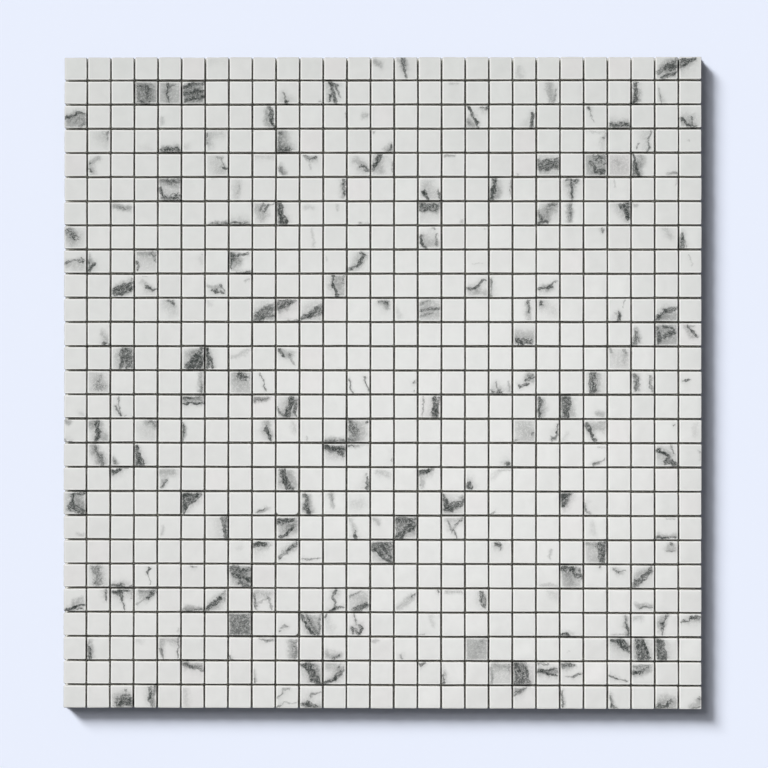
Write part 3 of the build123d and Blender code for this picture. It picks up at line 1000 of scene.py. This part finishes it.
@dataclass(frozen=True)
class SheetFinish(Finish):
    """A finish of the sheets under the chips, with a square net and fine grain in relief."""

    net_pitch: float = 3.7 * MM
    net_edge: tuple[float, float] = (0.0, 1.0)
    relief: float = 0.1 * MM
    relief_strength: float = 0.5
    grain_range: tuple[float, float] = (0.3, 0.7)
    roughness: tuple[float, float] = (0.35, 0.6)

    def net(self, tree: Tree) -> Socket:
        """Return the net as a mask, 1 on its threads and 0 between them."""
        x, y, _ = tree.split(tree.place())
        off = [tree.math("ABSOLUTE", tree.math("SINE", tree.times(value, math.pi / self.net_pitch)))
               for value in (x, y)]
        return tree.remap(tree.math("MINIMUM", *off), *self.net_edge, 1.0, 0.0)

    def coat(self, tree: Tree, effects: Effects, colour: Socket, grain: Socket, height: Socket) -> Socket:
        """Build the sheet's surface.

        Args:
            tree: The material's nodes.
            effects: The shared node groups.
            colour: The sheet's colour.
            grain: The height of its fine grain, which sets how rough it is.
            height: The height of its whole relief.

        Returns:
            The sheet's shader.
        """
        bump = tree.add("Bump", {"Height": height, "Strength": self.relief_strength, "Distance": self.relief})
        return tree.add("BsdfPrincipled", {
            "Base Color": self.balance(tree, effects, colour),
            "Roughness": tree.remap(grain, *self.grain_range, *self.roughness),
            "Normal": bump.outputs[0]}).outputs[0]


@dataclass(frozen=True)
class AdhesiveMat(SheetFinish):
    """The tacky backing mat with its woven reinforcing threads."""

    name: str = "adhesive mat"
    glue: Colour = (0.50, 0.50, 0.46)
    thread: Colour = (0.70, 0.69, 0.65)
    net_edge: tuple[float, float] = (0.12, 0.4)
    thread_height: float = 1.2

    def shade(self, tree: Tree, effects: Effects) -> Socket:
        """Lay a net of pale threads in the glue."""
        net = self.net(tree)
        grain = tree.group(effects.grain, {"Grains per Metre": 1200.0, "Tint Range": 0.3}).outputs
        colour = tree.scaled(tree.mix(net, rgba(self.glue), rgba(self.thread)), grain["Tint"])
        height = tree.plus(tree.times(net, self.thread_height), grain["Height"])
        return self.coat(tree, effects, colour, grain["Height"], height)


@dataclass(frozen=True)
class LinerPaper(SheetFinish):
    """The release liner: pale coated paper with fibres, and soft dents from the net above it."""

    name: str = "liner paper"
    paper: Colour = (0.78, 0.76, 0.70)
    fibre: Colour = (0.66, 0.63, 0.55)
    net_edge: tuple[float, float] = (0.0, 0.35)
    relief_strength: float = 0.6
    roughness: tuple[float, float] = (0.38, 0.55)
    flecks: float = 900.0
    fleck_edge: tuple[float, float] = (0.62, 0.72)
    fleck_share: float = 0.5
    waves: float = 22.0
    dent_height: float = 0.5
    pulp_height: float = 0.3
    wave_height: float = 6.0

    def shade(self, tree: Tree, effects: Effects) -> Socket:
        """Fleck the paper and press the net into it."""
        place, net = tree.place(), self.net(tree)
        pulp = tree.group(effects.grain, {"Grains per Metre": 1500.0, "Stretch": (1.0, 0.35, 1.0),
                                          "Tint Range": 0.08}).outputs
        flecks = tree.remap(tree.noise(place, self.flecks, detail=2.0), *self.fleck_edge)
        flecks = tree.times(flecks, self.fleck_share)
        colour = tree.scaled(tree.mix(flecks, rgba(self.paper), rgba(self.fibre)), pulp["Tint"])
        pressed = tree.plus(tree.times(net, self.dent_height), tree.times(pulp["Height"], self.pulp_height))
        waves = tree.noise(place, self.waves, detail=2.0)
        height = tree.plus(pressed, tree.times(waves, self.wave_height))
        return self.coat(tree, effects, colour, pulp["Height"], height)


@dataclass(frozen=True)
class StudioFloor(Finish):
    """The plain pale floor."""

    name: str = "studio floor"
    colour: Colour = (0.815, 0.863, 0.983)

    def shade(self, tree: Tree, effects: Effects) -> Socket:
        """Paint the floor flat and matte."""
        return tree.add("BsdfDiffuse", {"Color": rgba(self.colour)}).outputs[0]


@dataclass(frozen=True)
class Ring:
    """One ring of a chip: its inset, its height, its share of the unevenness, and the finish above it."""

    inset: float
    height: float
    uneven: float
    polished: bool


@dataclass(frozen=True)
class ChipShape:
    """The form of a chip: a square block with eased edges and a very slightly crowned face."""

    width: float = 10.34 * MM
    height: float = 10.44 * MM
    corner: float = 0.4 * MM
    worn_corner: float = 1.7 * MM
    arris: float = 0.2 * MM
    arris_turns: tuple[float, ...] = (30.0, 60.0, 90.0)
    lip: float = 0.08 * MM
    lip_rise: float = 0.002 * MM
    crown: float = 0.02 * MM
    crown_foot: float = 1.2 * MM
    crown_foot_share: float = 0.6
    crown_edge: float = 3.0 * MM
    corner_steps: int = 4
    side_steps: int = 6
    unevenness: float = 0.03 * MM
    furthest_out: float = 0.02 * MM
    steady: float = 0.4

    def outline(self, worn: tuple[Corner, ...]) -> list[tuple[float, float]]:
        """Trace the chip seen from above.

        Args:
            worn: Corners that are rubbed round.

        Returns:
            Points anticlockwise from the right top corner.
        """
        arcs = []
        for number, corner in enumerate(Corner):
            radius = self.worn_corner if corner in worn else self.corner
            cx = corner.value[0] * (self.width / 2 - radius)
            cy = corner.value[1] * (self.height / 2 - radius)
            turns = [math.pi / 2 * (number + step / self.corner_steps)
                     for step in range(self.corner_steps + 1)]
            arcs.append([(cx + radius * math.cos(t), cy + radius * math.sin(t)) for t in turns])
        points: list[tuple[float, float]] = []
        for arc, following in zip(arcs, arcs[1:] + arcs[:1]):
            points += arc
            (ax, ay), (bx, by) = arc[-1], following[0]
            points += [(ax + (bx - ax) * s / self.side_steps, ay + (by - ay) * s / self.side_steps)
                       for s in range(1, self.side_steps)]
        return points

    def rings(self, base: float, top: float) -> list[Ring]:
        """List the chip's rings from its base up and in over its face.

        Args:
            base: Height of the chip's underside.
            top: Height of its face at the rim.

        Returns:
            The rings. The arris is the most uneven, and the face is even.
        """
        rings = [Ring(0.0, base, self.steady, False), Ring(0.0, (base + top) / 2, self.steady, False),
                 Ring(0.0, top - self.arris, 1.0, False)]
        for turn in self.arris_turns:
            angle = math.radians(turn)
            rings.append(Ring(self.arris * (1 - math.cos(angle)), top - self.arris * (1 - math.sin(angle)),
                              self.steady if turn == self.arris_turns[-1] else 1.0, True))
        for inset, rise in ((self.arris + self.lip, self.lip_rise),
                            (self.crown_foot, self.crown_foot_share * self.crown),
                            (self.crown_edge, self.crown)):
            rings.append(Ring(inset, top + rise, 0.0, True))
        return rings


WORN_CHIPS: dict[tuple[int, int], tuple[Corner, ...]] = {
    (19, 10): (Corner.LEFT_BOTTOM, Corner.RIGHT_BOTTOM),
    (24, 10): (Corner.RIGHT_BOTTOM,),
}


@dataclass(frozen=True)
class Quarry:
    """How the tone of clear stone varies from chip to chip."""

    pinkish_share: float = 0.05
    pinkish_warmth: float = 0.95
    warmth_spread: float = 0.3
    warmth_down_sheet: float = 0.4
    light_spread: float = 0.008
    seeds: float = 9.0
    row_step: int = 7000
    column_step: int = 13

    def tone(self, row: int, column: int) -> Four:
        """Return one chip's warmth, lightness and seed, and 1."""
        drawn = random.Random(self.row_step * row + self.column_step * column)
        if drawn.random() < self.pinkish_share:
            warmth = self.pinkish_warmth
        else:
            warmth = drawn.uniform(0.0, self.warmth_spread) + self.warmth_down_sheet * row / ROWS
        return warmth, 1.0 + drawn.gauss(0, self.light_spread), drawn.uniform(0.0, self.seeds), 1.0


@dataclass
class ChipRow:
    """One row of chips, each laid with the same small errors as in the solid that it stands for."""

    row: int
    shape: ChipShape
    quarry: Quarry
    margin: float = 0.15 * MM
    seed_step: int = 1000
    laying_shift: float = 0.09 * MM
    laying_turn: float = 0.45
    tilt: float = math.radians(0.22)
    largest_tilt: float = math.radians(0.4)
    vertices: list[Point] = field(default_factory=list)
    faces: list[tuple[int, ...]] = field(default_factory=list)
    face_points: list[tuple[float, float]] = field(default_factory=list)
    polished: list[bool] = field(default_factory=list)
    owners: list[int] = field(default_factory=list)

    @property
    def node(self) -> str:
        """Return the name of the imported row."""
        return f"chip_row_{self.row:02d}"

    def build(self, materials: tuple[bpy.types.Material, bpy.types.Material]) -> bpy.types.Object:
        """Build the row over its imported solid.

        Args:
            materials: The polished and the sawn stone.

        Returns:
            The dressed row.
        """
        _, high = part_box(self.node)
        mat_low, mat_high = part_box("adhesive_mat")
        pitch_x = (mat_high.x - mat_low.x - 2 * self.margin - self.shape.width) / (COLUMNS - 1)
        pitch_y = (mat_high.y - mat_low.y - 2 * self.margin - self.shape.height) / (ROWS - 1)
        for column in range(1, COLUMNS + 1):
            centre = ((column - (COLUMNS + 1) / 2) * pitch_x, ((ROWS + 1) / 2 - self.row) * pitch_y)
            self.add_chip(column, centre, mat_high.z, high.z - self.shape.crown)
        mesh = bpy.data.meshes.new(self.node + "_stone")
        mesh.from_pydata(self.vertices, [], self.faces)
        for material in materials:
            mesh.materials.append(material)
        mesh.polygons.foreach_set("material_index", [0 if face else 1 for face in self.polished])
        mesh.polygons.foreach_set("use_smooth", [True] * len(self.faces))
        self.write_face_points(mesh)
        self.write_stone(mesh)
        piece = bpy.data.objects.new(f"marble_chips_{self.row:02d}", mesh)
        bpy.context.scene.collection.objects.link(piece)
        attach(piece, "root")
        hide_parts(self.node)
        return piece

    def add_chip(self, column: int, centre: tuple[float, float], base: float, top: float) -> None:
        """Add one chip's vertices and faces.

        Args:
            column: The chip's place in the row.
            centre: The middle of its place in the grid.
            base: Height of the mat that it stands on.
            top: Height of its face at the rim.
        """
        laid = random.Random(self.seed_step * self.row + column)
        shift_x, shift_y, turn = (laid.uniform(-1, 1) for _ in range(3))
        cx, cy = centre[0] + self.laying_shift * shift_x, centre[1] + self.laying_shift * shift_y
        turn = math.radians(self.laying_turn * turn)
        lean_x, lean_y = (self.lean(laid) for _ in range(2))
        outline = self.shape.outline(WORN_CHIPS.get((self.row, column), ()))
        wobble = [max(laid.gauss(0, self.shape.unevenness), -self.shape.furthest_out) for _ in outline]
        first, count = len(self.vertices), len(outline)
        rings = self.shape.rings(base, top)
        for ring in rings:
            for (x, y), uneven in zip(outline, wobble):
                inward = ring.inset + uneven * ring.uneven
                px, py = x * (1 - inward / (self.shape.width / 2)), y * (1 - inward / (self.shape.height / 2))
                height = ring.height if ring is rings[0] else ring.height + lean_x * x + lean_y * y
                self.place(px, py, height, cx, cy, turn)
        self.place(0.0, 0.0, top + self.shape.crown, cx, cy, turn)
        for number, ring in enumerate(rings[:-1]):
            for step in range(count):
                a, b = first + number * count + step, first + number * count + (step + 1) % count
                self.add_face((a, b, b + count, a + count), ring.polished, column)
        last, middle = first + (len(rings) - 1) * count, first + len(rings) * count
        for step in range(count):
            self.add_face((last + step, last + (step + 1) % count, middle), True, column)

    def lean(self, laid: random.Random) -> float:
        """Return how far one chip leans along one axis, held inside the largest tilt."""
        return max(-self.largest_tilt, min(self.largest_tilt, laid.gauss(0, self.tilt)))

    def place(self, x: float, y: float, z: float, cx: float, cy: float, turn: float) -> None:
        """Add one vertex of a chip, turned and moved to where the chip lies."""
        cos, sin = math.cos(turn), math.sin(turn)
        self.vertices.append((cx + x * cos - y * sin, cy + x * sin + y * cos, z))
        self.face_points.append((0.5 + x / self.shape.width, 0.5 - y / self.shape.height))

    def add_face(self, corners: tuple[int, ...], polished: bool, column: int) -> None:
        """Add one face and note its finish and its chip."""
        self.faces.append(corners)
        self.polished.append(polished)
        self.owners.append(column)

    def write_face_points(self, mesh: bpy.types.Mesh) -> None:
        """Store where each corner lies on its chip's face, 0 to 1 rightwards and downwards."""
        layer = mesh.uv_layers.new(name="ChipFace")
        flat = [value for loop in mesh.loops for value in self.face_points[loop.vertex_index]]
        layer.data.foreach_set("uv", flat)

    def write_stone(self, mesh: bpy.types.Mesh) -> None:
        """Store each chip's tone and veins on its faces."""
        columns = range(1, COLUMNS + 1)
        self.write_attribute(mesh, "chip_tone", {c: self.quarry.tone(self.row, c) for c in columns})
        veins = VEINS.get(self.row, {})
        for slot in range(MARKS_PER_CHIP):
            for part in ("ends", "look", "shape"):
                numbers = dict.fromkeys(columns, BLANK)
                numbers.update({column: getattr(marks[slot], part)()
                                for column, marks in veins.items() if slot < len(marks)})
                self.write_attribute(mesh, f"vein_{slot + 1}_{part}", numbers)

    def write_attribute(self, mesh: bpy.types.Mesh, name: str, values: dict[int, Four]) -> None:
        """Store four numbers of each chip on every one of its faces."""
        layer = mesh.attributes.new(name, "FLOAT_COLOR", "FACE")
        layer.data.foreach_set("color", [number for owner in self.owners for number in values[owner]])


@dataclass(frozen=True)
class Backing:
    """The adhesive mat and the release liner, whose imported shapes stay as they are."""

    mat: bpy.types.Material
    liner: bpy.types.Material

    def dress(self, nodes: dict[str, bpy.types.Object]) -> list[bpy.types.Object]:
        """Give both sheets their finishes and return them."""
        pieces = []
        for node, material in (("adhesive_mat", self.mat), ("release_liner", self.liner)):
            piece = nodes[node]
            piece.data.materials.clear()
            piece.data.materials.append(material)
            pieces.append(piece)
        return pieces


@dataclass(frozen=True)
class Lamp:
    """A broad lamp far off at the upper left, with its slope aside per metre of height."""

    name: str
    slope: float
    degrees_across: float
    strength: float


@dataclass(frozen=True)
class Panel:
    """A soft round panel of light overhead, which only the polished stone mirrors."""

    aim: tuple[float, float]
    inner_degrees: float
    outer_degrees: float
    strength: float


@dataclass(frozen=True)
class Studio:
    """The floor, the lights and the camera, straight above the sheet."""

    floor_size: float = 12.0
    lamps: tuple[Lamp, ...] = (
        Lamp("broad_key", 1.78, 17.0, 5.79),
        Lamp("high_soft_key", 1.05, 36.0, 1.075),
    )
    ambient: Colour = (0.13, 0.13, 0.133)
    backdrop: Colour = (0.76, 0.80, 0.90)
    ceiling: Colour = (0.40, 0.41, 0.43)
    ceiling_edge: tuple[float, float] = (0.35, 0.9)
    panels: tuple[Panel, ...] = (
        Panel((-0.03, -0.08), 2.0, 19.0, 1.4),
        Panel((0.04, -0.03), 0.5, 9.0, 1.6),
    )
    camera_at: Point = (0.0095, -0.0045, 0.8526)
    camera_turn: Point = (0.26, 0.587, 0.05)
    lens: float = 85.0
    sight: float = 50.0

    def lay_floor(self, material: bpy.types.Material) -> None:
        """Lay the floor under the sheet."""
        half = self.floor_size / 2
        corners = [(-half, -half, 0), (half, -half, 0), (half, half, 0), (-half, half, 0)]
        mesh = bpy.data.meshes.new("floor")
        mesh.from_pydata(corners, [], [(0, 1, 2, 3)])
        mesh.materials.append(material)
        floor = bpy.data.objects.new("floor", mesh)
        bpy.context.scene.collection.objects.link(floor)

    def hang_lamps(self) -> None:
        """Hang the lamps, which light the sheet and aren't mirrored in it."""
        for lamp in self.lamps:
            light = bpy.data.lights.new(lamp.name, "SUN")
            light.energy = lamp.strength
            light.angle = math.radians(lamp.degrees_across)
            holder = bpy.data.objects.new(lamp.name, light)
            towards = Vector((-lamp.slope, lamp.slope, 1.0))
            holder.rotation_euler = towards.to_track_quat("Z", "Y").to_euler()
            holder.visible_glossy = False
            bpy.context.scene.collection.objects.link(holder)

    def light_room(self) -> None:
        """Set the room's light, the backdrop, and the ceiling and panels that the stone mirrors."""
        world = bpy.data.worlds.new("studio")
        bpy.context.scene.world = world
        world.use_nodes = True
        tree = Tree(world.node_tree)
        way = tree.add("TexCoord").outputs["Generated"]
        path = tree.add("LightPath").outputs
        overhead = tree.remap(tree.split(way)[2], *self.ceiling_edge)
        mirrored = tree.mix(overhead, rgba(self.backdrop), rgba(self.ceiling))
        seen = tree.math("MAXIMUM", path["Is Camera Ray"], path["Is Transmission Ray"])
        colour = tree.mix(seen, rgba(self.ambient), rgba(self.backdrop))
        colour = tree.mix(path["Is Glossy Ray"], colour, mirrored)
        for panel in self.panels:
            near = tree.vector("DOT_PRODUCT", way, Vector((*panel.aim, 1.0)).normalized())
            edges = (math.cos(math.radians(angle)) for angle in (panel.outer_degrees, panel.inner_degrees))
            glow = tree.times(tree.remap(near, *edges, 0.0, panel.strength), path["Is Glossy Ray"])
            colour = tree.vector("ADD", colour, tree.joined(glow, glow, glow))
        sky = tree.add("Background", {"Color": colour, "Strength": 1.0}).outputs[0]
        tree.add("OutputWorld", {"Surface": sky})

    def set_camera(self) -> None:
        """Set the camera above the sheet, looking straight down at its face."""
        camera = bpy.data.cameras.new("camera")
        camera.lens = self.lens
        camera.clip_end = self.sight
        holder = bpy.data.objects.new("camera", camera)
        holder.location = self.camera_at
        holder.rotation_euler = [math.radians(angle) for angle in self.camera_turn]
        bpy.context.scene.collection.objects.link(holder)
        bpy.context.scene.camera = holder


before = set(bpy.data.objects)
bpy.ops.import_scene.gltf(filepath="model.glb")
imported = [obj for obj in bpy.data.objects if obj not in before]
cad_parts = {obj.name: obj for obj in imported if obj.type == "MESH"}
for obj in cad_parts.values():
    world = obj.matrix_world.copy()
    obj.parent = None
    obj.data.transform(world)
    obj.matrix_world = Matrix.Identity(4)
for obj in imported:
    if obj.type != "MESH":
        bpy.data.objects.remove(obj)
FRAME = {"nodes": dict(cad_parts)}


def main() -> None:
    """Build the sheet, dress it and set the studio, reporting each piece."""
    logging.basicConfig(level=logging.INFO, format="%(message)s")
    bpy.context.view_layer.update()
    bpy.context.scene.view_settings.view_transform = "Standard"
    effects = Effects()
    stone = PolishedMarble().material(effects), SawnMarble().material(effects)
    for row in range(1, ROWS + 1):
        piece = ChipRow(row, ChipShape(), Quarry()).build(stone)
        LOG.info("%s: %d faces", piece.name, len(piece.data.polygons))
    backing = Backing(AdhesiveMat().material(effects), LinerPaper().material(effects))
    for piece in backing.dress(FRAME["nodes"]):
        LOG.info("%s: dressed", piece.name)
    studio = Studio()
    studio.lay_floor(StudioFloor().material(effects))
    studio.hang_lamps()
    studio.light_room()
    studio.set_camera()


if __name__ == "__main__":
    main()
